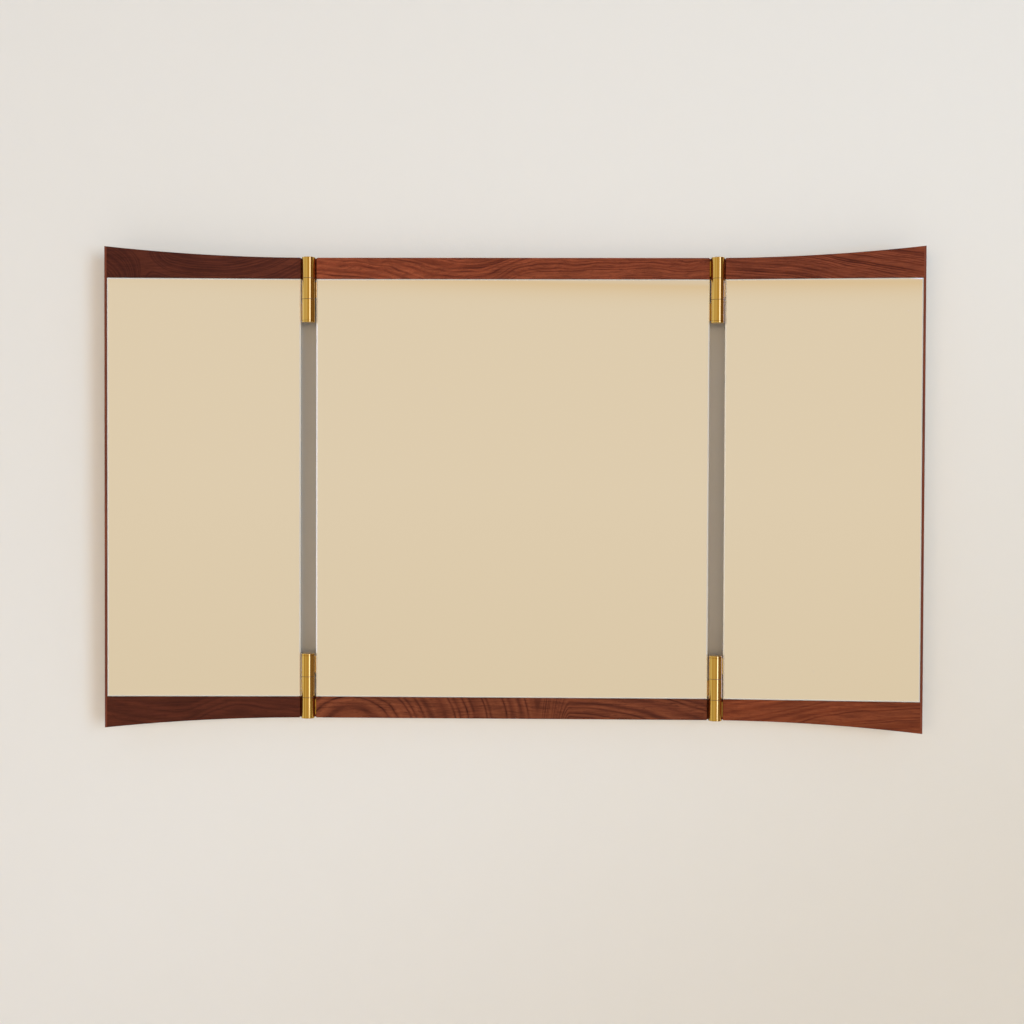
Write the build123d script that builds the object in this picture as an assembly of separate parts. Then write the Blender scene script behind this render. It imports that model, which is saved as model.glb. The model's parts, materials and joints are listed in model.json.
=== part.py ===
from build123d import *
import os

# Wall mirror of three panels: a fixed centre panel and two wings on brass barrel hinges.
# Sizes are in millimetres. +X runs to the right, +Y towards the wall and +Z up.
# The wall is the plane Y = 0, and the origin is the middle of the wall cleat's back.

# Panels, as they are seen from the front
centre_width = 562
hinge_gap = 22
closed_gap = 2
glass_height = 600
rail_height = 30
wing_flare = 14.5
end_strip_width = 3.2
wing_rest_angle = {"left": 2.3, "right": 3.8}

# Panels, through their thickness
panel_thickness = 20
glass_thickness = 5
adhesive_thickness = 2
glass_edge_clearance = 0.3
bevel_width = 1.9
bevel_depth = 1.1
board_inset = 14
tongue_thickness = 5
tongue_length = 8
tongue_clearance = 0.3
eased_edge = 0.7
rail_corner_radius = 2
rail_cheek_reach = 8.5
rail_cheek_clearance = 0.5
adhesive_bead_width = 9
adhesive_end_margin = 30

# Barrel hinges
barrel_diameter = 19
axis_proud = 1.5
knuckle_length = 30
pin_diameter = 8
pin_end_depth = 22
pin_end_clearance = 2
pin_head_thickness = 3
pin_seat_clearance = 0.02
pin_running_clearance = 0.05
washer_thickness = 0.5
washer_clearance = 0.05
washer_inset = 0.2
barrel_edge = 0.4
leaf_thickness = 2.5
leaf_clearance = 0.3
leaf_pocket_clearance = 0.4
leaf_corner_radius = 3
leaf_reach = 54
long_leaf_reach = 45
lug_setback = 1.5
lug_shoulder = 4
lug_tab_reach = 24
lug_tab_margin = 4

# Countersunk screws: shank radius, head radius and length
leaf_screw = {"shank": 1.75, "head": 3.6, "length": 11}
cleat_screw = {"shank": 2.1, "head": 4.4, "length": 35}
batten_screw = {"shank": 2.1, "head": 4.4, "length": 30}
screw_clearance = 0.05
recess_width = 1.2
recess_depth = 1.6
screw_edge_distance = 9

# Hanging cleats, lower batten and wall bumpers
cleat_thickness = 24
cleat_clearance = 0.5
wall_cleat_width = 450
wall_cleat_height = 64
panel_cleat_width = 490
panel_cleat_height = 70
cleat_play = 0.2
cleat_below_glass_top = 125
cleat_screw_margin = 35
wall_hole_spacing_outer = 406.4
wall_hole_spacing_inner = 203.2
wall_hole_radius = 2.75
wall_hole_countersink = 5.5
batten_height = 44
batten_width = 490
batten_corner_radius = 3
batten_above_glass_bottom = 60
bumper_diameter = 20
bumper_thickness = 3.5
bumper_spacing = 420
batten_screw_spacing = 300

# What follows from the sizes above
wing_width = (centre_width - closed_gap) / 2
axis_x = centre_width / 2 + hinge_gap / 2
axis_to_edge = hinge_gap / 2
axis_to_strip = axis_to_edge + wing_width - end_strip_width
axis_to_end = axis_to_edge + wing_width
back_y = -(cleat_thickness + cleat_clearance)
front_y = back_y - panel_thickness
axis_y = front_y - axis_proud
glass_back_y = front_y + glass_thickness
board_front_y = glass_back_y + adhesive_thickness
glass_top_z = cleat_below_glass_top
glass_bottom_z = glass_top_z - glass_height
middle_z = (glass_top_z + glass_bottom_z) / 2
barrel_radius = barrel_diameter / 2
cheek_front_y = axis_y + barrel_radius + rail_cheek_clearance
leaf_front = axis_proud + glass_thickness + leaf_clearance
leaf_back = leaf_front + leaf_thickness


def block(x0, x1, y0, y1, z0, z1):
    """A box between two corners."""
    size = Box(x1 - x0, y1 - y0, z1 - z0)
    return Pos((x0 + x1) / 2, (y0 + y1) / 2, (z0 + z1) / 2) * size


def upright(outline, y0, y1):
    """A flat outline, drawn in X and Z, given depth from y0 to y1."""
    face = Pos(0, y0, 0) * (Plane.XZ * outline)
    return extrude(face, amount=y1 - y0, dir=(0, 1, 0))


def wood_slab(front_outline, back_outline):
    """A panel's outline in wood, with eased edges. Its back part reaches further, behind the barrels."""
    front = upright(front_outline, front_y, cheek_front_y)
    front = chamfer(front.faces().sort_by(Axis.Y)[0].edges(), eased_edge)
    back = upright(back_outline, cheek_front_y, back_y)
    back = chamfer(back.faces().sort_by(Axis.Y)[-1].edges(), eased_edge)
    return front + back


# Hinges
# Each is drawn about its own axis, with Z = 0 where the rail meets the glass. The outer
# knuckle stands between the rail ends, the middle one below it, and then the inner one.
# The long leaf, with two knuckles, reaches to -X, and the short leaf to +X.
inner_end = -2 * knuckle_length
half_seam = washer_thickness / 2 + washer_clearance
middle_top = -half_seam
middle_bottom = -knuckle_length + half_seam
inner_top = -knuckle_length - half_seam


def knuckle(z0, z1, bore):
    """One knuckle of the barrel, with its bore left open at both ends."""
    return Pos(0, 0, z0) * (
        Cylinder(barrel_radius, z1 - z0, align=(Align.CENTER, Align.CENTER, Align.MIN))
        - Cylinder(bore, z1 - z0, align=(Align.CENTER, Align.CENTER, Align.MIN))
    )


def short_leaf_outline(grow=0):
    """The middle knuckle's leaf: sloping shoulders at the barrel, then a straight tail."""
    top = middle_top - lug_setback
    bottom = middle_bottom + lug_setback
    tail_top = top - lug_shoulder
    tail_bottom = bottom + lug_shoulder
    line = Polyline(
        (0, top + grow),
        (barrel_radius - lug_setback, top + grow),
        (axis_to_edge, tail_top + grow),
        (leaf_reach + grow, tail_top + grow),
        (leaf_reach + grow, tail_bottom - grow),
        (axis_to_edge, tail_bottom - grow),
        (barrel_radius - lug_setback, bottom - grow),
        (0, bottom - grow),
        close=True,
    )
    tail = [v for v in make_face(line).vertices() if v.X > leaf_reach - leaf_corner_radius]
    return fillet(tail, leaf_corner_radius)


def long_leaf_outline(grow=0):
    """The outer and inner knuckles' leaf. It steps back behind the glass beside the middle knuckle."""
    foot = inner_end + lug_setback
    neck = axis_to_edge + leaf_corner_radius
    tab_bottom = half_seam + lug_tab_margin
    tab_top = rail_height - lug_tab_margin
    line = Polyline(
        (0, foot - grow),
        (-long_leaf_reach - grow, foot - grow),
        (-long_leaf_reach - grow, middle_top - lug_setback + grow),
        (-lug_tab_reach - grow, middle_top - lug_setback + grow),
        (-lug_tab_reach - grow, tab_top + grow),
        (0, tab_top + grow),
        (0, tab_bottom - grow),
        (-neck + grow, tab_bottom - grow),
        (-neck + grow, inner_top - lug_setback - lug_shoulder + grow),
        (-axis_to_edge, inner_top - lug_setback - lug_shoulder + grow),
        (-(barrel_radius - lug_setback), inner_top - lug_setback + grow),
        (0, inner_top - lug_setback + grow),
        close=True,
    )
    tail = [v for v in make_face(line).vertices() if v.X < -long_leaf_reach + leaf_corner_radius]
    return fillet(tail, leaf_corner_radius)


board_edge = axis_to_edge + board_inset
short_leaf_screws = [
    (board_edge + screw_edge_distance, -knuckle_length / 2),
    (leaf_reach - screw_edge_distance + leaf_corner_radius, -knuckle_length / 2),
]
long_leaf_screws = [(-(board_edge + screw_edge_distance), -i * knuckle_length / 3) for i in (1, 3, 5)]


def screw(kind, recess=False):
    """A countersunk screw along +Y, with the flat of its head at Y = 0."""
    head, shank, length = kind["head"], kind["shank"], kind["length"]
    taper = head - shank
    profile = Polyline((0, 0), (head, 0), (shank, taper), (shank, length), (0, length), close=True)
    body = revolve(make_face(profile), Axis.Y)
    if recess:
        slot = block(-head / 2, head / 2, 0, recess_depth, -recess_width / 2, recess_width / 2)
        body -= slot + Rot(0, 90, 0) * slot
    return body


def screw_hole(kind):
    """The countersunk hole that fits the screw above, a little larger all round."""
    head, shank = kind["head"] + screw_clearance, kind["shank"] + screw_clearance
    depth = kind["length"]
    profile = Polyline((0, 0), (head, 0), (shank, head - shank), (shank, depth), (0, depth), close=True)
    return revolve(make_face(profile), Axis.Y)


def pilot_hole(kind):
    """The plain hole for the screw's shank, in the piece behind the countersunk one."""
    radius = kind["shank"] + screw_clearance
    depth = kind["length"]
    return Rot(-90, 0, 0) * Cylinder(radius, depth, align=(Align.CENTER, Align.CENTER, Align.MIN))


def at_screws(places, y, piece):
    """A piece repeated at X and Z places on the plane Y = y."""
    return [Pos(x, y, z) * piece for x, z in places]


def short_leaf():
    """The middle knuckle with its leaf. The pin turns in its bore."""
    bore = pin_diameter / 2 + pin_running_clearance
    leaf = upright(short_leaf_outline(), leaf_front, leaf_back)
    leaf += knuckle(middle_bottom, middle_top, bore)
    leaf -= Cylinder(bore, 4 * knuckle_length)
    return leaf - at_screws(short_leaf_screws, leaf_front, screw_hole(leaf_screw))


def long_leaf():
    """The outer and inner knuckles on one leaf, holding the pin. The outer bore ends blind."""
    bore = pin_diameter / 2 + pin_seat_clearance
    leaf = upright(long_leaf_outline(), leaf_front, leaf_back)
    leaf += knuckle(half_seam, rail_height, bore)
    leaf += knuckle(inner_end, inner_top, bore)
    leaf += Pos(0, 0, pin_end_depth) * Cylinder(
        barrel_radius,
        rail_height - pin_end_depth,
        align=(Align.CENTER, Align.CENTER, Align.MIN),
    )
    bore_tool = Pos(0, 0, inner_end) * Cylinder(
        bore,
        pin_end_depth - inner_end,
        align=(Align.CENTER, Align.CENTER, Align.MIN),
    )
    leaf -= bore_tool
    end_rim = leaf.faces().sort_by(Axis.Z)[-1].edges()
    leaf = chamfer(end_rim, barrel_edge)
    return leaf - at_screws(long_leaf_screws, leaf_front, screw_hole(leaf_screw))


def hinge_pin():
    """The pin, with a flat head as wide as the barrel at its inner end."""
    tip = pin_end_depth - pin_end_clearance
    shaft = Pos(0, 0, inner_end) * Cylinder(
        pin_diameter / 2,
        tip - inner_end,
        align=(Align.CENTER, Align.CENTER, Align.MIN),
    )
    head = Pos(0, 0, inner_end) * Cylinder(
        barrel_radius,
        pin_head_thickness,
        align=(Align.CENTER, Align.CENTER, Align.MAX),
    )
    rims = head.edges().filter_by(GeomType.CIRCLE)
    return shaft + chamfer(rims, barrel_edge)


def hinge_washers():
    """The two thin washers between the knuckles."""
    ring = Cylinder(barrel_radius - washer_inset, washer_thickness)
    ring -= Cylinder(pin_diameter / 2 + 2 * pin_running_clearance, washer_thickness)
    return [ring, Pos(0, 0, -knuckle_length) * ring]


def leaf_pocket(outline):
    """The room that a leaf takes in the wood behind it, with its clearance."""
    grown = outline(leaf_pocket_clearance)
    return upright(grown, leaf_front - leaf_clearance, leaf_back + screw_clearance)


def leaf_screw_holes(places):
    """The pilot holes of a leaf's screws in the board behind it."""
    return at_screws(places, leaf_front, pilot_hole(leaf_screw))


# Where the hinges stand. A bottom hinge is a top one turned half a turn about Y.
hinge_side = {"left": -1, "right": 1}
hinge_place = {}
for side, sign in hinge_side.items():
    hinge_place[side, "top"] = Pos(sign * axis_x, axis_y, glass_top_z)
    hinge_place[side, "bottom"] = Pos(sign * axis_x, axis_y, glass_bottom_z) * Rot(0, 180, 0)


def long_leaf_body(side, end):
    """The long leaf reaches left at the top hinges and right at the bottom ones."""
    wing_is_left = side == "left"
    reaches_left = end == "top"
    return side if wing_is_left == reaches_left else "centre"


def short_leaf_body(side, end):
    return "centre" if long_leaf_body(side, end) == side else side


def leaf_tools(body):
    """What is cut from a body's boards and rails for the leaves that are fixed to it."""
    tools = []
    for key, place in hinge_place.items():
        if long_leaf_body(*key) == body:
            tools.append(place * leaf_pocket(long_leaf_outline))
            tools += [place * hole for hole in leaf_screw_holes(long_leaf_screws)]
        if short_leaf_body(*key) == body:
            tools.append(place * leaf_pocket(short_leaf_outline))
            tools += [place * hole for hole in leaf_screw_holes(short_leaf_screws)]
    return tools


# Panels
# A wing is drawn as the right one, flat beside the centre panel, and mirrored for the left.


def tongue(x0, x1, z0, z1, clearance=0):
    """The tongue along a board's end, or with a clearance the groove that takes it."""
    board_middle = (board_front_y + back_y) / 2
    half = tongue_thickness / 2 + clearance
    return block(x0, x1, board_middle - half, board_middle + half, z0, z1)


def backing_board(x0, x1):
    """The plywood board behind the glass, with a tongue at its top and bottom."""
    board = block(x0, x1, board_front_y, back_y, glass_bottom_z, glass_top_z)
    return board + tongue(
        x0,
        x1,
        glass_bottom_z - tongue_length,
        glass_top_z + tongue_length,
    )


def grooves(x0, x1):
    """The grooves in both rails for the board's tongues."""
    reach = tongue_length + tongue_clearance
    ends = (glass_bottom_z - reach, glass_top_z + reach)
    return tongue(x0 - tongue_clearance, x1 + tongue_clearance, *ends, tongue_clearance / 3)


def mirror_glass(x0, x1):
    """A pane with a narrow polished bevel round its front."""
    gap = glass_edge_clearance
    pane = block(x0, x1, front_y, glass_back_y, glass_bottom_z + gap, glass_top_z - gap)
    front = pane.faces().sort_by(Axis.Y)[0]
    return chamfer(front.edges(), bevel_width, bevel_depth, reference=front)


def adhesive_beads(x_values):
    """Upright beads of mirror adhesive between the board and the glass."""
    half = adhesive_bead_width / 2
    z0 = glass_bottom_z + adhesive_end_margin
    z1 = glass_top_z - adhesive_end_margin
    return [block(x - half, x + half, glass_back_y, board_front_y, z0, z1) for x in x_values]


def centre_outline(reach=0):
    """The centre panel from the front, with its ends a reach further out."""
    height = glass_height + 2 * rail_height
    return Pos(0, middle_z) * RectangleRounded(centre_width + 2 * reach, height, rail_corner_radius)


def centre_wood():
    """The centre panel's straight top and bottom rails."""
    half = centre_width / 2 + rail_cheek_reach
    far = glass_height
    slab = wood_slab(centre_outline(), centre_outline(rail_cheek_reach))
    top = slab & block(-half, half, front_y, back_y, glass_top_z, glass_top_z + far)
    bottom = slab & block(-half, half, front_y, back_y, glass_bottom_z - far, glass_bottom_z)
    return top, bottom


def wing_outline(reach=0):
    """The right wing from the front, with its hinge end a reach further in. Its top and bottom are
    level there, and then arcs that flare outwards."""
    x0, x1 = axis_x + axis_to_edge, axis_x + axis_to_end
    inner_half = glass_height / 2 + rail_height
    outer_half = inner_half + wing_flare
    lines = []
    for sign in (1, -1):
        arc_start = (x0, middle_z + sign * inner_half)
        lines.append(TangentArc(arc_start, (x1, middle_z + sign * outer_half), tangent=(1, 0)))
        if reach:
            lines.append(Line((x0 - reach, middle_z + sign * inner_half), arc_start))
    lines.append(Line((x0 - reach, middle_z + inner_half), (x0 - reach, middle_z - inner_half)))
    lines.append(Line((x1, middle_z + outer_half), (x1, middle_z - outer_half)))
    outline = make_face(lines)
    inner_corners = outline.vertices().sort_by(Axis.X)[:2]
    return fillet(inner_corners, rail_corner_radius)


def wing_wood():
    """The right wing's two rails and the thin strip that closes their outer ends."""
    far = 2 * axis_to_end
    x0, x1, x2 = axis_x, axis_x + axis_to_strip, axis_x + far
    slab = wood_slab(wing_outline(), wing_outline(rail_cheek_reach))
    top = slab & block(x0, x1, front_y, back_y, glass_top_z, glass_top_z + far)
    bottom = slab & block(x0, x1, front_y, back_y, glass_bottom_z - far, glass_bottom_z)
    strip = slab & block(x1, x2, front_y, back_y, glass_bottom_z - far, glass_top_z + far)
    return top, bottom, strip


# Hanging parts
# The wall cleat's top slopes up away from the wall, and the panel cleat hooks over it.


def cleat_section(y_wall, y_front, z_wall, z_front, z_far):
    """A bevelled strip's section in Y and Z. Its sloping edge runs from the wall to the front."""
    points = [(y_wall, z_wall), (y_front, z_front), (y_front, z_far), (y_wall, z_far)]
    return make_face(Polyline(*points, close=True))


def along_x(section, width):
    """A section drawn in Y and Z, given a width about X = 0."""
    return extrude(Pos(-width / 2, 0, 0) * (Plane.YZ * section), amount=width, dir=(1, 0, 0))


slope_wall_z = wall_cleat_height / 2
slope_front_z = slope_wall_z + cleat_thickness


def wall_cleat():
    """The strip that is screwed to the wall. Its four holes are countersunk from the front."""
    strip = along_x(
        cleat_section(0, -cleat_thickness, slope_wall_z, slope_front_z, -wall_cleat_height / 2),
        wall_cleat_width,
    )
    hole = Pos(0, -cleat_thickness, 0) * screw_hole(
        {
            "shank": wall_hole_radius - screw_clearance,
            "head": wall_hole_countersink,
            "length": 2 * cleat_thickness,
        }
    )
    spacings = (wall_hole_spacing_outer, wall_hole_spacing_inner)
    return strip - [Pos(s * spacing / 2, 0, 0) * hole for spacing in spacings for s in (-1, 1)]


def panel_cleat():
    """The strip on the panel's back that hooks down behind the wall cleat."""
    y_wall = back_y + cleat_thickness
    play = cleat_play + cleat_clearance
    section = cleat_section(
        y_wall,
        back_y,
        slope_wall_z + play,
        slope_wall_z + play + cleat_thickness,
        slope_wall_z + play + panel_cleat_height,
    )
    return along_x(section, panel_cleat_width)


def row_places(width, margin, count, z):
    """X and Z places of a row of screws, evenly spaced between two margins."""
    span = width - 2 * margin
    return [(-span / 2 + i * span / (count - 1), z) for i in range(count)]


panel_cleat_middle_z = slope_front_z + (panel_cleat_height - cleat_thickness) / 2
cleat_screw_places = row_places(panel_cleat_width, cleat_screw_margin, 5, panel_cleat_middle_z)
batten_z = glass_bottom_z + batten_above_glass_bottom
batten_back_y = -bumper_thickness
batten_screw_places = row_places(batten_screw_spacing, 0, 3, batten_z)


def into_panel(places, y, piece):
    """Pieces turned to point from the back of the mirror into it."""
    return [Pos(x, y, z) * Rot(180, 0, 0) * piece for x, z in places]


def lower_batten():
    """The strip low on the panel's back that keeps the mirror upright off the wall."""
    outline = Pos(0, batten_z) * RectangleRounded(batten_width, batten_height, batten_corner_radius)
    return upright(outline, back_y, batten_back_y)


def wall_bumpers():
    """Two round rubber pads between the batten and the wall."""
    pad = Rot(90, 0, 0) * Cylinder(
        bumper_diameter / 2,
        bumper_thickness,
        align=(Align.CENTER, Align.CENTER, Align.MIN),
    )
    front_rim = pad.faces().sort_by(Axis.Y)[-1].edges()
    pad = chamfer(front_rim, eased_edge)
    return [Pos(s * bumper_spacing / 2, 0, batten_z) * pad for s in (-1, 1)]


# Assembly
# Every piece goes to the body that it moves with, flat at first. The wings are turned last.
bodies = {"centre": {}, "left": {}, "right": {}}

centre = bodies["centre"]
centre_edge = centre_width / 2
board_end = centre_edge - board_inset
centre_tools = leaf_tools("centre")
centre_grooves = grooves(-board_end, board_end)
cleat_back_y = back_y + cleat_thickness
cleat_holes = into_panel(cleat_screw_places, cleat_back_y, screw_hole(cleat_screw))
cleat_pilots = into_panel(cleat_screw_places, cleat_back_y, pilot_hole(cleat_screw))
batten_holes = into_panel(batten_screw_places, batten_back_y, screw_hole(batten_screw))
batten_pilots = into_panel(batten_screw_places, batten_back_y, pilot_hole(batten_screw))

centre_top, centre_bottom = centre_wood()
centre["centre_top_rail"] = centre_top - centre_grooves - centre_tools
centre["centre_bottom_rail"] = centre_bottom - centre_grooves - centre_tools
centre["centre_backing_board"] = (
    backing_board(-board_end, board_end) - centre_tools - cleat_pilots - batten_pilots
)
centre["centre_mirror_glass"] = mirror_glass(-centre_edge, centre_edge)
bead_span = centre_width / 4
centre["centre_mirror_adhesive"] = adhesive_beads([(i - 1.5) * bead_span for i in range(4)])
centre["wall_cleat"] = wall_cleat()
centre["panel_cleat"] = panel_cleat() - cleat_holes
centre["panel_cleat_screws"] = into_panel(
    cleat_screw_places, cleat_back_y, screw(cleat_screw, recess=True)
)
centre["lower_batten"] = lower_batten() - batten_holes
centre["lower_batten_screws"] = into_panel(
    batten_screw_places, batten_back_y, screw(batten_screw, recess=True)
)
centre["wall_bumpers"] = wall_bumpers()

top_rail, bottom_rail, strip = wing_wood()
wing_x0 = axis_x + axis_to_edge
wing_x1 = axis_x + axis_to_strip
wing_board_x0 = wing_x0 + board_inset
bead_gap = (wing_x1 - wing_board_x0) / 3
wing_pieces = {
    "top_rail": top_rail - grooves(wing_board_x0, wing_x1),
    "bottom_rail": bottom_rail - grooves(wing_board_x0, wing_x1),
    "end_strip": strip,
    "backing_board": backing_board(wing_board_x0, wing_x1),
    "mirror_glass": mirror_glass(wing_x0, wing_x1 - glass_edge_clearance),
    "mirror_adhesive": adhesive_beads([wing_board_x0 + (i + 1) * bead_gap for i in range(2)]),
}
cut_for_leaves = ("top_rail", "bottom_rail", "backing_board")
for side, sign in hinge_side.items():
    tools = leaf_tools(side)
    for name, piece in wing_pieces.items():
        if sign < 0:
            group = piece if isinstance(piece, list) else [piece]
            mirrored = [mirror(solid, about=Plane.YZ) for solid in group]
            piece = mirrored if isinstance(piece, list) else mirrored[0]
        if name in cut_for_leaves:
            piece = piece - tools
        bodies[side][f"{side}_wing_{name}"] = piece

for (side, end), place in hinge_place.items():
    name = f"{side}_{end}_hinge"
    long_body = bodies[long_leaf_body(side, end)]
    short_body = bodies[short_leaf_body(side, end)]
    leaf_screws = {
        "long": at_screws(long_leaf_screws, leaf_front, screw(leaf_screw)),
        "short": at_screws(short_leaf_screws, leaf_front, screw(leaf_screw)),
    }
    long_body[f"{name}_long_leaf"] = place * long_leaf()
    long_body[f"{name}_pin"] = place * hinge_pin()
    long_body[f"{name}_washers"] = [place * ring for ring in hinge_washers()]
    long_body[f"{name}_long_leaf_screws"] = [place * item for item in leaf_screws["long"]]
    short_body[f"{name}_short_leaf"] = place * short_leaf()
    short_body[f"{name}_short_leaf_screws"] = [place * item for item in leaf_screws["short"]]

# A wing is turned forward about its hinge line: the left one about +Z and the right one about -Z.
os.makedirs("parts", exist_ok=True)
for body, pieces in bodies.items():
    turn = Pos(0, 0, 0)
    if body in hinge_side:
        sign = hinge_side[body]
        there = Pos(sign * axis_x, axis_y, 0)
        back = Pos(-sign * axis_x, -axis_y, 0)
        turn = there * Rot(0, 0, -sign * wing_rest_angle[body]) * back
    for name, piece in pieces.items():
        group = piece if isinstance(piece, list) else [piece]
        solids = [solid for item in group for solid in (turn * item).solids()]
        shape = solids[0] if len(solids) == 1 else Compound(children=solids)
        export_step(shape, f"parts/{name}.step")
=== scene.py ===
import json
from math import cos, pi, radians, sin

import bpy
from mathutils import Matrix, Vector


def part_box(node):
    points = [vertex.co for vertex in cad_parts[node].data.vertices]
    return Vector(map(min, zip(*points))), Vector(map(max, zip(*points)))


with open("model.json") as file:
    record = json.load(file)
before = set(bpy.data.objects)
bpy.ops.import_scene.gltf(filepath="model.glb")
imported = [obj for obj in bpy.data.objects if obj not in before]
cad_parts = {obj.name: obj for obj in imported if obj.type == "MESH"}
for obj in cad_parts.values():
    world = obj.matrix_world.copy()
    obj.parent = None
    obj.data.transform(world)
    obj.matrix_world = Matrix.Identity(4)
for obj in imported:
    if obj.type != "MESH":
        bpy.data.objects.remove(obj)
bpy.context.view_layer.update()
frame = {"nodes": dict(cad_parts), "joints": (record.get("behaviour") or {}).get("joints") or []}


# Backing boards
# Birch plywood under a clear lacquer, one board behind each pane. The plies show as stripes
# round the edges, and the face veneer has its fine grain upright.

PLY_THICKNESS = 0.0014
VENEER_LINE_WIDTH = 0.00833
VENEER_LINE_LENGTH = 0.333
LEVEL_WITH_FACE = 0.9
BIRCH_FACE = "#CDB795"
BIRCH_PALE = "#DBC9A9"
BIRCH_CROSS_PLY = "#B3936A"


def linear(colour):
    """An sRGB hex colour as linear light, with alpha."""
    parts = [int(colour[i : i + 2], 16) / 255 for i in (1, 3, 5)]
    return [c / 12.92 if c <= 0.04045 else ((c + 0.055) / 1.055) ** 2.4 for c in parts] + [1.0]


def add(tree, kind, inputs, **settings):
    """Adds a shader node, sets it up, and gives each input its value or its link."""
    made = tree.nodes.new("ShaderNode" + kind)
    for name, value in settings.items():
        setattr(made, name, value)
    for name, value in inputs.items():
        if isinstance(value, bpy.types.NodeSocket):
            tree.links.new(value, made.inputs[name])
        else:
            made.inputs[name].default_value = value
    return made


def new_material(name):
    """A material with a plain Principled shader, and its parts: material, node tree and shader."""
    made = bpy.data.materials.new(name)
    made.use_nodes = True
    return made, made.node_tree, made.node_tree.nodes["Principled BSDF"]


def colours(ramp, stops):
    """Sets a colour ramp from places and colours."""
    elements = ramp.color_ramp.elements
    while len(elements) < len(stops):
        elements.new(1.0)
    for element, (place, colour) in zip(elements, stops):
        element.position = place
        element.color = colour


def dress(material, *nodes):
    """Gives CAD nodes a material in place of the plain one that they come with."""
    for node in nodes:
        mesh = frame["nodes"][node].data
        mesh.materials.clear()
        mesh.materials.append(material)


# A wing stands turned about its hinge line, and its patterns are turned with it.
hinge_line = {}
wing_turn = {}
for joint in frame["joints"]:
    half_turn = joint["range_deg"][1]
    hinge_line[joint["child"]] = Vector(joint["pos_m"])
    wing_turn[joint["child"]] = radians(180 - half_turn) * joint["axis"][2]


def own_place(tree, body, scale=(1, 1, 1), shift=(0, 0, 0)):
    """A point on a piece, as if its panel stood flat, drawn out by the scale and then moved by the shift."""
    place = add(tree, "TexCoord", {}).outputs["Object"]
    if body in hinge_line:
        line = hinge_line[body]
        about = add(tree, "Mapping", {"Vector": place, "Location": -line}, vector_type="POINT")
        about = {"Vector": about.outputs[0], "Rotation": (0, 0, -wing_turn[body]), "Location": line}
        place = add(tree, "Mapping", about).outputs[0]
    return add(tree, "Mapping", {"Vector": place, "Scale": scale, "Location": shift}).outputs[0]


def birch_plywood(name, body, front, grain):
    """Rotary-cut birch plywood: pale satin faces, with darker cross plies between them at the edges."""
    made, tree, shader = new_material(name)
    depth = add(tree, "SeparateXYZ", {"Vector": own_place(tree, body)}).outputs["Y"]
    ply = add(tree, "Math", {0: depth, 1: -front}, operation="ADD").outputs[0]
    ply = add(tree, "Math", {0: ply, 1: PLY_THICKNESS}, operation="PINGPONG").outputs[0]
    ply = add(tree, "Math", {0: ply, 1: 0.51 * PLY_THICKNESS}, operation="GREATER_THAN").outputs[0]

    # the two faces are veneer all over, however many plies lie under it
    normal = add(tree, "TexCoord", {}).outputs["Normal"]
    edge = add(tree, "SeparateXYZ", {"Vector": normal}).outputs["Y"]
    edge = add(tree, "Math", {0: edge}, operation="ABSOLUTE").outputs[0]
    edge = add(tree, "Math", {0: edge, 1: LEVEL_WITH_FACE}, operation="LESS_THAN").outputs[0]
    ply = add(tree, "Math", {0: ply, 1: edge}, operation="MULTIPLY").outputs[0]

    across, lengthwise = 1 / VENEER_LINE_WIDTH, 1 / VENEER_LINE_LENGTH
    scale = (across, across, lengthwise) if grain == "upright" else (lengthwise, across, across)
    veneer = own_place(tree, body, scale=scale)
    figure = add(tree, "TexNoise", {"Vector": veneer, "Scale": 1.0, "Detail": 5.0, "Distortion": 0.6})
    ramp = add(tree, "ValToRGB", {"Fac": figure.outputs["Fac"]})
    colours(ramp, [(0.3, linear(BIRCH_FACE)), (0.7, linear(BIRCH_PALE))])
    both = add(
        tree, "Mix", {0: ply, "A": ramp.outputs[0], "B": linear(BIRCH_CROSS_PLY)}, data_type="RGBA"
    )
    tree.links.new(both.outputs["Result"], shader.inputs["Base Color"])
    shader.inputs["Roughness"].default_value = 0.42
    shader.inputs["IOR"].default_value = 1.5
    return made


bodies = ("centre_panel", "left_wing", "right_wing")
board_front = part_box("centre_backing_board")[0].y
for body in bodies:
    board = "centre_backing_board" if body == "centre_panel" else body + "_backing_board"
    dress(birch_plywood("Lacquered birch plywood, " + body, body, board_front, "upright"), board)


# Rails
# Oiled American walnut, planed and sanded, one length above and one below each pane. Each was
# cut from another part of the plank, so tone and figure differ from rail to rail. Fibres and pores
# are drawn about three times as coarse as real ones, so that they show.

HEART_BEHIND = 0.02
FIBRE_LENGTH = 0.06
FIBRE_WIDTH = 0.0022
PORE_LENGTH = 0.009
PORE_WIDTH = 0.0006
RIPPLE = 0.0022
WANDER_CELLS = (9, 18, 18)
RIPPLE_CELLS = (34, 140, 140)
PATCH_CELLS = (14, 90, 90)
CLOUD_CELLS = (16, 40, 40)
RING_UNEVENNESS = 3.0
CHANGES_PER_RING = 0.45
FIBRE_STRENGTH = 0.75
PORE_STRENGTH = 0.5
CLOUDING = 0.14


def noise_along(tree, grain, scale, **inputs):
    """Noise that is drawn out along the grain, by so many cells a metre each way."""
    place = add(tree, "Mapping", {"Vector": grain, "Scale": scale}).outputs[0]
    return add(tree, "TexNoise", {"Vector": place, "Scale": 1.0, **inputs}).outputs


def darken(tree, wood, deep, spots, strength):
    """Lets the deep tone into the wood where the spots are, given as a noise and where it starts and ends."""
    noise, start, end = spots
    limits = {"Value": noise, "From Min": start, "From Max": end, "To Max": strength}
    amount = add(tree, "MapRange", limits).outputs[0]
    return add(tree, "Mix", {0: amount, "A": wood, "B": deep}, data_type="RGBA").outputs["Result"]


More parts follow.
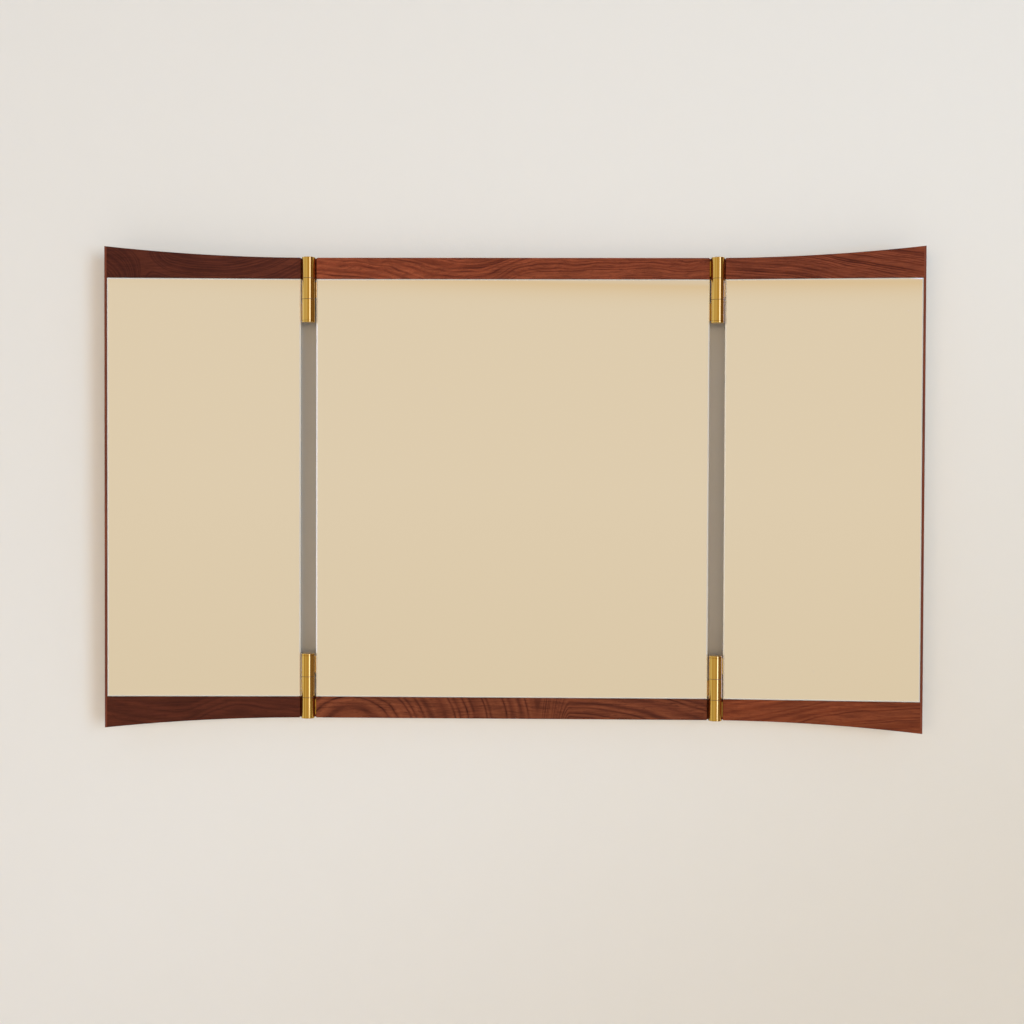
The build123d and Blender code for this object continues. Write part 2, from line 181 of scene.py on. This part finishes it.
def oiled_walnut(rail, body, tones, hearts, change, ring_width, wander, lines, ends):
    """Walnut under oil: a dull sheen, dark late-wood lines, streaks of fibre and short open pores."""
    made, tree, shader = new_material("Oiled walnut, " + rail)
    deep, mid, light = [linear(tone) for tone in tones]
    low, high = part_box(rail)
    middle = (low + high) / 2
    grain = own_place(tree, body, shift=(-middle.x, 0, -middle.z))
    along = add(tree, "SeparateXYZ", {"Vector": grain}).outputs["X"]

    # slow drift of the fibres, and a finer ripple on it
    for scale, reach in ((WANDER_CELLS, wander), (RIPPLE_CELLS, RIPPLE)):
        drift = noise_along(tree, grain, scale, Detail=2.0, Roughness=0.45)["Color"]
        drift = add(tree, "VectorMath", {0: drift, 1: (0.5, 0.5, 0.5)}, operation="SUBTRACT").outputs[0]
        drift = add(tree, "VectorMath", {0: drift, 1: (0, reach, reach)}, operation="MULTIPLY").outputs[0]
        grain = add(tree, "VectorMath", {0: grain, 1: drift}, operation="ADD").outputs[0]

    # growth rings about a heart beside the rail, and from some place on about another one
    reach = []
    for across, stretch, below in hearts:
        place = {"Vector": grain, "Location": (-across * stretch, HEART_BEHIND, below)}
        centred = add(tree, "Mapping", place | {"Scale": (stretch, 1, 1)}).outputs[0]
        reach.append(add(tree, "VectorMath", {0: centred}, operation="LENGTH").outputs["Value"])
    second = add(
        tree,
        "MapRange",
        {"Value": along, "From Min": change[0], "From Max": change[1]},
        interpolation_type="SMOOTHSTEP",
    ).outputs[0]
    radius = add(tree, "Mix", {0: second, 2: reach[0], 3: reach[1]}).outputs[0]
    count = add(tree, "Math", {0: radius, 1: ring_width}, operation="DIVIDE").outputs[0]
    uneven = {"W": count, "Scale": CHANGES_PER_RING, "Detail": 1.0}
    uneven = add(tree, "TexNoise", uneven, noise_dimensions="1D").outputs["Fac"]
    count = add(tree, "Math", {0: uneven, 1: RING_UNEVENNESS, 2: count}, operation="MULTIPLY_ADD").outputs[0]
    ring = add(tree, "Math", {0: count}, operation="FRACT").outputs[0]
    number = add(tree, "Math", {0: count}, operation="FLOOR").outputs[0]
    strength = add(tree, "TexWhiteNoise", {"W": number}, noise_dimensions="1D").outputs["Value"]
    band = add(tree, "ValToRGB", {"Fac": ring})
    colours(band, [(0.0, mid), (0.35, light), (0.75, mid), (1.0, mid)])
    late = add(tree, "ValToRGB", {"Fac": ring})
    late.color_ramp.interpolation = "EASE"
    clear, full = (0, 0, 0, 1), (1, 1, 1, 1)
    colours(late, [(0.60, clear), (0.86, full), (0.90, full), (1.0, clear)])
    patch = noise_along(tree, grain, PATCH_CELLS, Detail=2.0)["Fac"]
    patch = {"Value": patch, "From Min": 0.32, "From Max": 0.62, "To Max": lines}
    patch = add(tree, "MapRange", patch).outputs[0]
    strength = add(tree, "MapRange", {"Value": strength, "To Min": 0.4, "To Max": 1.2}).outputs[0]
    patch = add(tree, "Math", {0: patch, 1: strength}, operation="MULTIPLY").outputs[0]
    late = add(tree, "Math", {0: late.outputs[0], 1: patch}, operation="MULTIPLY", use_clamp=True).outputs[0]
    wood = add(tree, "Mix", {0: late, "A": band.outputs[0], "B": deep}, data_type="RGBA").outputs["Result"]

    # streaks of darker fibre, pores, and one end lighter than the other
    fibre_scale = (1 / FIBRE_LENGTH, 1 / FIBRE_WIDTH, 1 / FIBRE_WIDTH)
    streak = noise_along(tree, grain, fibre_scale, Detail=4.0, Roughness=0.65)["Fac"]
    wood = darken(tree, wood, deep, (streak, 0.42, 0.78), FIBRE_STRENGTH)
    pore_scale = (1 / PORE_LENGTH, 1 / PORE_WIDTH, 1 / PORE_WIDTH)
    pore = noise_along(tree, grain, pore_scale, Detail=1.0)["Fac"]
    wood = darken(tree, wood, deep, (pore, 0.56, 0.74), PORE_STRENGTH)
    half = (high.x - low.x) / 2
    fade = {"Value": along, "From Min": -half, "From Max": half, "To Min": ends[0], "To Max": ends[1]}
    fade = add(tree, "MapRange", fade).outputs[0]
    cloud = noise_along(tree, grain, CLOUD_CELLS, Detail=1.0)["Fac"]
    cloud = {"Value": cloud, "From Min": 0.3, "From Max": 0.7, "To Min": 1 - CLOUDING, "To Max": 1 + CLOUDING}
    cloud = add(tree, "MapRange", cloud).outputs[0]
    bright = add(tree, "Math", {0: fade, 1: cloud}, operation="MULTIPLY").outputs[0]
    wood = add(tree, "VectorMath", {0: wood, "Scale": bright}, operation="SCALE").outputs[0]
    tree.links.new(wood, shader.inputs["Base Color"])
    shader.inputs["Roughness"].default_value = 0.65
    shader.inputs["Specular IOR Level"].default_value = 0.12
    return made


# Tones run from the late-wood lines to the lightest early wood. Each heart has its place along the
# rail, how much its rings are drawn out along it, and how far below the rail's middle it lies. The
# figure passes from the first heart to the second over the change, and ends are the brightness of
# the rail's left and right end.
RAILS = {
    "left_wing_top_rail": {
        "body": "left_wing",
        "tones": ("#3A1A12", "#55281B", "#673322"),
        "hearts": ((-0.16, 0.9, 0.03), (0.01, 0.5, -0.045)),
        "change": (-0.12, -0.05),
        "ring_width": 0.0042,
        "wander": 0.012,
        "lines": 0.6,
        "ends": (0.69, 0.91),
    },
    "centre_top_rail": {
        "body": "centre_panel",
        "tones": ("#3C160E", "#843F27", "#914A2F"),
        "hearts": ((-0.40, 0.25, 0.11), (0.30, 0.06, 0.11)),
        "change": (-0.06, 0.04),
        "ring_width": 0.0058,
        "wander": 0.034,
        "lines": 0.95,
        "ends": (1.10, 0.84),
    },
    "right_wing_top_rail": {
        "body": "right_wing",
        "tones": ("#35130B", "#773923", "#85442D"),
        "hearts": ((-0.30, 0.21, 0.11), (-0.35, 0.21, 0.11)),
        "change": (-0.05, 0.05),
        "ring_width": 0.0046,
        "wander": 0.007,
        "lines": 0.9,
        "ends": (0.98, 1.0),
    },
    "left_wing_bottom_rail": {
        "body": "left_wing",
        "tones": ("#36170F", "#572A1A", "#622F1E"),
        "hearts": ((-0.50, 0.22, 0.11), (-0.20, 0.22, 0.11)),
        "change": (-0.05, 0.05),
        "ring_width": 0.0105,
        "wander": 0.018,
        "lines": 0.45,
        "ends": (0.84, 0.82),
    },
    "centre_bottom_rail": {
        "body": "centre_panel",
        "tones": ("#32140D", "#743B25", "#89492E"),
        "hearts": ((-0.23, 0.72, 0.03), (0.05, 0.36, 0.075)),
        "change": (0.035, 0.085),
        "ring_width": 0.0088,
        "wander": 0.016,
        "lines": 0.85,
        "ends": (0.94, 0.76),
    },
    "right_wing_bottom_rail": {
        "body": "right_wing",
        "tones": ("#481D12", "#7F3D22", "#8B472A"),
        "hearts": ((0.35, 0.22, 0.11), (0.30, 0.21, 0.11)),
        "change": (-0.05, 0.05),
        "ring_width": 0.0070,
        "wander": 0.012,
        "lines": 0.7,
        "ends": (1.0, 0.79),
    },
}
for rail, look in RAILS.items():
    dress(oiled_walnut(rail, **look), rail)


# End strips
# The same walnut in a thin strip glued over each wing's outer end, with its grain upright.

STRIP_DEEP = "#4A2018"
STRIP_MID = "#6B3321"
STRIP_LIGHT = "#7E4229"
STRIP_LINE = (0.0011, 0.0038, 0.111)

for body in ("left_wing", "right_wing"):
    made, tree, shader = new_material("Oiled walnut strip, " + body)
    grain = own_place(tree, body, scale=[1 / size for size in STRIP_LINE])
    lines = add(tree, "TexNoise", {"Vector": grain, "Scale": 1.0, "Detail": 3.0, "Distortion": 0.4})
    ramp = add(tree, "ValToRGB", {"Fac": lines.outputs["Fac"]})
    colours(ramp, [(0.3, linear(STRIP_DEEP)), (0.5, linear(STRIP_MID)), (0.72, linear(STRIP_LIGHT))])
    tree.links.new(ramp.outputs[0], shader.inputs["Base Color"])
    shader.inputs["Roughness"].default_value = 0.5
    shader.inputs["Specular IOR Level"].default_value = 0.2
    dress(made, body + "_end_strip")


# Mirror adhesive
# Beads of cured neutral silicone between board and glass, off-white with a soft sheen.

ADHESIVE = "#D6D0C2"

made, tree, shader = new_material("Cured mirror adhesive")
shader.inputs["Base Color"].default_value = linear(ADHESIVE)
shader.inputs["Roughness"].default_value = 0.5
dress(made, *[n for n in frame["nodes"] if n.endswith("mirror_adhesive")])


# Mirror panes
# 5 mm float glass, silvered behind and painted grey over the silver. The front mirrors the room, its
# narrow bevel does so in part and is otherwise a pale matt colour, a painted reflection that stands in
# for the bright glint of a real bevel; the edges are ground and polished, with glass's faint green.

SILVER = "#F6F5F0"
# the bevel's pale matt colour: a painted reflection in place of a real bevel's bright glint
BEVEL_PAINTED_REFLECTION = "#F2ECE0"
GLASS_EDGE = "#A9B7AA"
BACKING_PAINT = "#70767A"
BEVEL_SILVER = 0.35
FLAT_FRONT = 0.97
BEVELLED = 0.5

for body in bodies:
    made, tree, shader = new_material("Silvered float glass, " + body)
    pane = "centre_mirror_glass" if body == "centre_panel" else body + "_mirror_glass"
    turn = wing_turn.get(body, 0.0)
    facing = (sin(turn), -cos(turn), 0)
    normal = add(tree, "TexCoord", {}).outputs["Normal"]
    frontal = add(tree, "VectorMath", {0: normal, 1: facing}, operation="DOT_PRODUCT").outputs["Value"]
    is_front = add(tree, "Math", {0: frontal, 1: FLAT_FRONT}, operation="GREATER_THAN").outputs[0]
    is_silver = add(tree, "Math", {0: frontal, 1: BEVELLED}, operation="GREATER_THAN").outputs[0]
    is_back = add(tree, "Math", {0: frontal, 1: -BEVELLED}, operation="LESS_THAN").outputs[0]
    colour = add(
        tree, "Mix", {0: is_back, "A": linear(GLASS_EDGE), "B": linear(BACKING_PAINT)}, data_type="RGBA"
    ).outputs["Result"]
    # the bevel takes the painted reflection colour, the flat front the silver
    for place, shade in ((is_silver, BEVEL_PAINTED_REFLECTION), (is_front, SILVER)):
        both = {0: place, "A": colour, "B": linear(shade)}
        colour = add(tree, "Mix", both, data_type="RGBA").outputs["Result"]
    tree.links.new(colour, shader.inputs["Base Color"])
    metal = add(tree, "Mix", {0: is_front, 2: 0.0, 3: 1.0 - BEVEL_SILVER})
    metal = add(tree, "Math", {0: is_silver, 1: BEVEL_SILVER, 2: metal.outputs[0]}, operation="MULTIPLY_ADD")
    tree.links.new(metal.outputs[0], shader.inputs["Metallic"])
    rough = add(tree, "MapRange", {"Value": is_back, "To Min": 0.02, "To Max": 0.5})
    tree.links.new(rough.outputs[0], shader.inputs["Roughness"])
    dress(made, pane)


# Barrel hinges
# Drawn brass, polished lengthwise and left without lacquer. The lines of the drawing run along the
# barrel, coarser here than real ones so that they show. The screws are plain turned brass.

BRASS = "#BC923A"
BRASS_BRIGHT = "#D0AE59"
DRAWN_LINE = 0.0024

made, tree, shader = new_material("Polished drawn brass")
place = add(tree, "TexCoord", {}).outputs["Object"]
lines = add(tree, "Mapping", {"Vector": place, "Scale": (1 / DRAWN_LINE, 1 / DRAWN_LINE, 1)})
lines = add(tree, "TexNoise", {"Vector": lines.outputs[0], "Scale": 1.0, "Detail": 2.0})
ramp = add(tree, "ValToRGB", {"Fac": lines.outputs["Fac"]})
colours(ramp, [(0.38, linear(BRASS)), (0.62, linear(BRASS_BRIGHT))])
tree.links.new(ramp.outputs[0], shader.inputs["Base Color"])
sheen = add(
    tree,
    "MapRange",
    {"Value": lines.outputs["Fac"], "From Min": 0.3, "From Max": 0.7, "To Min": 0.06, "To Max": 0.11},
)
tree.links.new(sheen.outputs[0], shader.inputs["Roughness"])
shader.inputs["Metallic"].default_value = 1.0
hinge_pieces = ("_hinge_long_leaf", "_hinge_short_leaf", "_hinge_pin")
dress(made, *[n for n in frame["nodes"] if n.endswith(hinge_pieces)])

made, tree, shader = new_material("Turned brass screws")
shader.inputs["Base Color"].default_value = linear(BRASS)
shader.inputs["Metallic"].default_value = 1.0
shader.inputs["Roughness"].default_value = 0.25
dress(made, *[n for n in frame["nodes"] if "hinge" in n and n.endswith("screws")])


# Hinge washers
# Thin nylon rings between the knuckles, smoked brown so that the joints read as dark lines.

NYLON = "#3B2E1E"

made, tree, shader = new_material("Smoked nylon")
shader.inputs["Base Color"].default_value = linear(NYLON)
shader.inputs["Roughness"].default_value = 0.4
dress(made, *[n for n in frame["nodes"] if n.endswith("washers")])


# Cleats and batten
# Birch plywood strips, sawn and sanded, with the grain along them. The slanting edges of the two
# cleats hook over each other, and zinc-plated screws hold the upper cleat and the batten.

ZINC = "#C9C7C0"

strip_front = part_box("panel_cleat")[0].y
made = birch_plywood("Sanded birch plywood strip", "centre_panel", strip_front, "level")
dress(made, "wall_cleat", "panel_cleat", "lower_batten")

made, tree, shader = new_material("Zinc-plated steel screws")
shader.inputs["Base Color"].default_value = linear(ZINC)
shader.inputs["Metallic"].default_value = 1.0
shader.inputs["Roughness"].default_value = 0.35
dress(made, "panel_cleat_screws", "lower_batten_screws")


# Wall bumpers
# Black rubber pads, moulded with a matt surface and stuck to the batten's back.

RUBBER = "#1E1D1C"

made, tree, shader = new_material("Black rubber")
shader.inputs["Base Color"].default_value = linear(RUBBER)
shader.inputs["Roughness"].default_value = 0.8
dress(made, "wall_bumpers")


# Wall and floor
# A plain painted wall behind the mirror, with painted shade that makes it a little darker towards the
# lower right, and a pale floor well below it. Seen from behind, the wall isn't there, and light comes
# through it too, so that the mirror's back can be looked at.

WALL = "#E7E2DC"
# the wall's colour where painted shade darkens it, towards the lower right
WALL_PAINTED_SHADE = "#DBD2C6"
FLOOR = "#E4DFD7"
WALL_WIDTH = 9.0
WALL_HEIGHT = 4.6
FLOOR_Z = -1.7
FLOOR_SIDE = 12.0
FLOOR_GLOW = 0.85
BEHIND_CLEAT = 0.0005
SHADE_SLOPE = 0.8
SHADE_FROM = 0.1
SHADE_TO = 1.6

bpy.ops.object.select_all(action="DESELECT")
bpy.ops.mesh.primitive_plane_add(
    size=1, location=(0, BEHIND_CLEAT, FLOOR_Z + WALL_HEIGHT / 2), rotation=(radians(90), 0, 0)
)
wall = bpy.context.object
wall.name = "painted_wall"
wall.scale = (WALL_WIDTH, WALL_HEIGHT, 1)
bpy.ops.object.transform_apply(location=True, rotation=True, scale=True)

made, tree, shader = new_material("Matt wall paint")
x, y, z = add(tree, "SeparateXYZ", {"Vector": add(tree, "TexCoord", {}).outputs["Object"]}).outputs
# painted shade: the wall's colour darkens towards the lower right, standing in for the room's light falling
# off there
painted_shade = add(tree, "Math", {0: x, 1: SHADE_SLOPE}, operation="MULTIPLY").outputs[0]
painted_shade = {"Value": add(tree, "Math", {0: painted_shade, 1: z}, operation="SUBTRACT").outputs[0]}
painted_shade |= {"From Min": SHADE_FROM, "From Max": SHADE_TO}
painted_shade = add(tree, "MapRange", painted_shade, interpolation_type="SMOOTHSTEP").outputs[0]
paint = add(tree, "Mix", {0: painted_shade, "A": linear(WALL), "B": linear(WALL_PAINTED_SHADE)}, data_type="RGBA")
tree.links.new(paint.outputs["Result"], shader.inputs["Base Color"])
shader.inputs["Roughness"].default_value = 0.9
shader.inputs["Specular IOR Level"].default_value = 0.1
behind = add(tree, "NewGeometry", {}).outputs["Backfacing"]
come_through = add(tree, "LightPath", {}).outputs["Transparent Depth"]
come_through = add(tree, "Math", {0: come_through, 1: 0.5}, operation="GREATER_THAN").outputs[0]
behind = add(tree, "Math", {0: behind, 1: come_through}, operation="MAXIMUM").outputs[0]
clear = add(tree, "BsdfTransparent", {}).outputs[0]
one_sided = add(tree, "MixShader", {0: behind, 1: shader.outputs[0], 2: clear})
tree.links.new(one_sided.outputs[0], tree.nodes["Material Output"].inputs["Surface"])
wall.data.materials.append(made)

bpy.ops.mesh.primitive_plane_add(size=FLOOR_SIDE, location=(0, 0, FLOOR_Z))
floor = bpy.context.object
floor.name = "pale_floor"
bpy.ops.object.transform_apply(location=True, rotation=True, scale=True)

# the lamps' own colours don't show on the floor, which keeps some of their light and shadow
made, tree, shader = new_material("Matt pale floor")
shader.inputs["Base Color"].default_value = linear(FLOOR)
shader.inputs["Roughness"].default_value = 0.8
path = add(tree, "LightPath", {}).outputs
seen = add(tree, "Math", {0: path["Is Camera Ray"], 1: path["Is Glossy Ray"]}, operation="MAXIMUM").outputs[0]
seen = add(tree, "Math", {0: seen, 1: path["Is Transmission Ray"]}, operation="MAXIMUM").outputs[0]
seen = add(tree, "Math", {0: seen, 1: FLOOR_GLOW}, operation="MULTIPLY").outputs[0]
pale = add(tree, "Emission", {"Color": linear(FLOOR)}).outputs[0]
evened = add(tree, "MixShader", {0: seen, 1: shader.outputs[0], 2: pale})
tree.links.new(evened.outputs[0], tree.nodes["Material Output"].inputs["Surface"])
floor.data.materials.append(made)


# Light
# A tall cool window far to the right of the mirror, a long warm light in front of it, two lamps for
# its back and a faint even room. The world shows metal and glass a cream room with windows in it.

MIRROR_MIDDLE = Vector((0, -0.045, -0.175))
WINDOW_BEARING = 34
WINDOW_RISE = 2.5
WINDOW_AWAY = 12
WINDOW_SIZE = (3.2, 5.8)
WINDOW_POWER = 529
WINDOW_COLOUR = (0.455, 0.740, 1.0)
FRONT_BEARING = 1
FRONT_RISE = 1.5
FRONT_AWAY = 5.5
FRONT_SIZE = (7.0, 1.6)
FRONT_POWER = 212
FRONT_COLOUR = (1.0, 0.797, 0.539)
BACK_BEARINGS = (140, 220)
BACK_RISE = 20
BACK_AWAY = 3
BACK_SIZE = (1.4, 1.4)
BACK_POWER = 40
BACK_COLOUR = (1.0, 0.95, 0.88)
ROOM_LIGHT = (0.205, 0.268, 0.368, 1.0)
PLAIN = (1.0, 1.0, 1.0, 1.0)
WINDOW_SEEN = (3.6, 5.2, 19.0, 1.0)
SIDE_WINDOW = (1.35, 1.7, 3.0, 1.0)
WHITE_WALL = (1.2, 1.4, 2.2, 1.0)
DIM_CORNER = (0.42, 0.34, 0.34, 1.0)
PALE_WALL = (0.98, 1.08, 1.3, 1.0)
FLOOR_SEEN = (0.92, 0.79, 0.60, 1.0)
LOW_CREAM = (0.77, 0.635, 0.45, 1.0)
CREAM = (0.795, 0.663, 0.484, 1.0)
GOLD_CORNICE = (0.756, 0.560, 0.330, 1.0)
CEILING = (0.74, 0.60, 0.43, 1.0)
CORNICE_TILT = 0.03
CORNICE_FROM = 0.118
CORNICE_TO = 0.1444
CORNICE_FALL = 3.5
CEILING_FROM = 0.147


def lamp(name, bearing, rise, away, size, power, colour):
    """A soft lamp that faces the middle of the mirror. Metal and glass see the world in its place."""
    data = bpy.data.lights.new(name, "AREA")
    data.shape = "RECTANGLE"
    data.size, data.size_y = size
    data.energy = power
    data.color = colour
    made = bpy.data.objects.new(name, data)
    bpy.context.collection.objects.link(made)
    level = cos(radians(rise))
    bearing = radians(bearing)
    way = Vector((sin(bearing) * level, -cos(bearing) * level, sin(radians(rise))))
    facing = way.to_track_quat("Z", "Y").to_matrix().to_4x4()
    made.matrix_world = Matrix.Translation(MIRROR_MIDDLE + away * way) @ facing
    made.visible_glossy = False
    made.visible_camera = False


lamp("window", WINDOW_BEARING, WINDOW_RISE, WINDOW_AWAY, WINDOW_SIZE, WINDOW_POWER, WINDOW_COLOUR)
lamp("front_light", FRONT_BEARING, FRONT_RISE, FRONT_AWAY, FRONT_SIZE, FRONT_POWER, FRONT_COLOUR)
for bearing in BACK_BEARINGS:
    lamp("back_light", bearing, BACK_RISE, BACK_AWAY, BACK_SIZE, BACK_POWER, BACK_COLOUR)

world = bpy.data.worlds.new("Room")
bpy.context.scene.world = world
world.use_nodes = True
world.cycles.sampling_method = "NONE"
tree = world.node_tree
path = add(tree, "LightPath", {}).outputs
x, y, z = add(tree, "SeparateXYZ", {"Vector": add(tree, "TexCoord", {}).outputs["Generated"]}).outputs
ahead = add(tree, "Math", {0: y, 1: -1.0}, operation="MULTIPLY").outputs[0]
angle = add(tree, "Math", {0: x, 1: ahead}, operation="ARCTAN2").outputs[0]
around = add(tree, "MapRange", {"Value": angle, "From Min": -pi, "From Max": pi}).outputs[0]
round_room = add(tree, "ValToRGB", {"Fac": around})

# what stands round the room, by its bearing in degrees
bearings = [
    (-180, PALE_WALL),
    (-104, PALE_WALL),
    (-96, SIDE_WINDOW),
    (-68, SIDE_WINDOW),
    (-62, PLAIN),
    (-46, PLAIN),
    (-38, WHITE_WALL),
    (-22, WHITE_WALL),
    (-15, PLAIN),
    (24, PLAIN),
    (26, WINDOW_SEEN),
    (41, WINDOW_SEEN),
    (44, DIM_CORNER),
    (110, DIM_CORNER),
    (150, PALE_WALL),
]
colours(round_room, [(0.5 + bearing / 360, shade) for bearing, shade in bearings])
rise = add(tree, "Math", {0: x, 1: CORNICE_TILT, 2: z}, operation="MULTIPLY_ADD").outputs[0]
height = add(tree, "MapRange", {"Value": rise, "From Min": -1.0, "From Max": 1.0}).outputs[0]
up_room = add(tree, "ValToRGB", {"Fac": height})

# what stands below and above eye level, by its rise, with a cornice that is too thin for a ramp
heights = [(-0.5, FLOOR_SEEN), (-0.15, LOW_CREAM), (0.0, CREAM)]
colours(up_room, [(0.5 + level / 2, shade) for level, shade in heights])
cornice = add(tree, "MapRange", {"Value": rise, "From Min": CORNICE_FROM, "From Max": CORNICE_TO}).outputs[0]
cornice = add(tree, "Math", {0: cornice, 1: CORNICE_FALL}, operation="POWER").outputs[0]
ceiling = add(tree, "MapRange", {"Value": rise, "From Min": CORNICE_TO, "From Max": CEILING_FROM}).outputs[0]
up_and_down = up_room.outputs[0]
for place, shade in ((cornice, GOLD_CORNICE), (ceiling, CEILING)):
    both = {0: place, "A": up_and_down, "B": shade}
    up_and_down = add(tree, "Mix", both, data_type="RGBA").outputs["Result"]
seen = add(
    tree,
    "Mix",
    {0: 1.0, "A": round_room.outputs[0], "B": up_and_down},
    data_type="RGBA",
    blend_type="MULTIPLY",
).outputs["Result"]
mirrored = {0: path["Is Glossy Ray"], 1: path["Is Transmission Ray"]}
mirrored = add(tree, "Math", mirrored, operation="MAXIMUM").outputs[0]
shown = add(tree, "Mix", {0: mirrored, "A": ROOM_LIGHT, "B": seen}, data_type="RGBA").outputs["Result"]
plain_back = {0: path["Is Camera Ray"], "A": shown, "B": linear(WALL)}
shown = add(tree, "Mix", plain_back, data_type="RGBA").outputs["Result"]
tree.links.new(shown, tree.nodes["Background"].inputs["Color"])


# Camera
# Two metres in front of the mirror, a little right of its middle and turned a degree to the left.

CAMERA_SPOT = Vector((0.0374, -2.0445, -0.1723))
CAMERA_YAW = 1.061
CAMERA_PITCH = -1.020
CAMERA_ROLL = -0.217
FOCAL_PIXELS = 1397.1
PICTURE_PIXELS = 1024

view = bpy.data.cameras.new("Camera")
view.sensor_width = 36
view.lens = FOCAL_PIXELS / PICTURE_PIXELS * view.sensor_width
camera = bpy.data.objects.new("Camera", view)
bpy.context.collection.objects.link(camera)
turn = Matrix.Rotation(radians(CAMERA_YAW), 4, "Z")
turn = turn @ Matrix.Rotation(radians(CAMERA_PITCH), 4, "X") @ Matrix.Rotation(radians(CAMERA_ROLL), 4, "Y")
camera.matrix_world = Matrix.Translation(CAMERA_SPOT) @ turn @ Matrix.Rotation(radians(90), 4, "X")
bpy.context.scene.camera = camera
bpy.context.scene.view_settings.view_transform = "Standard"
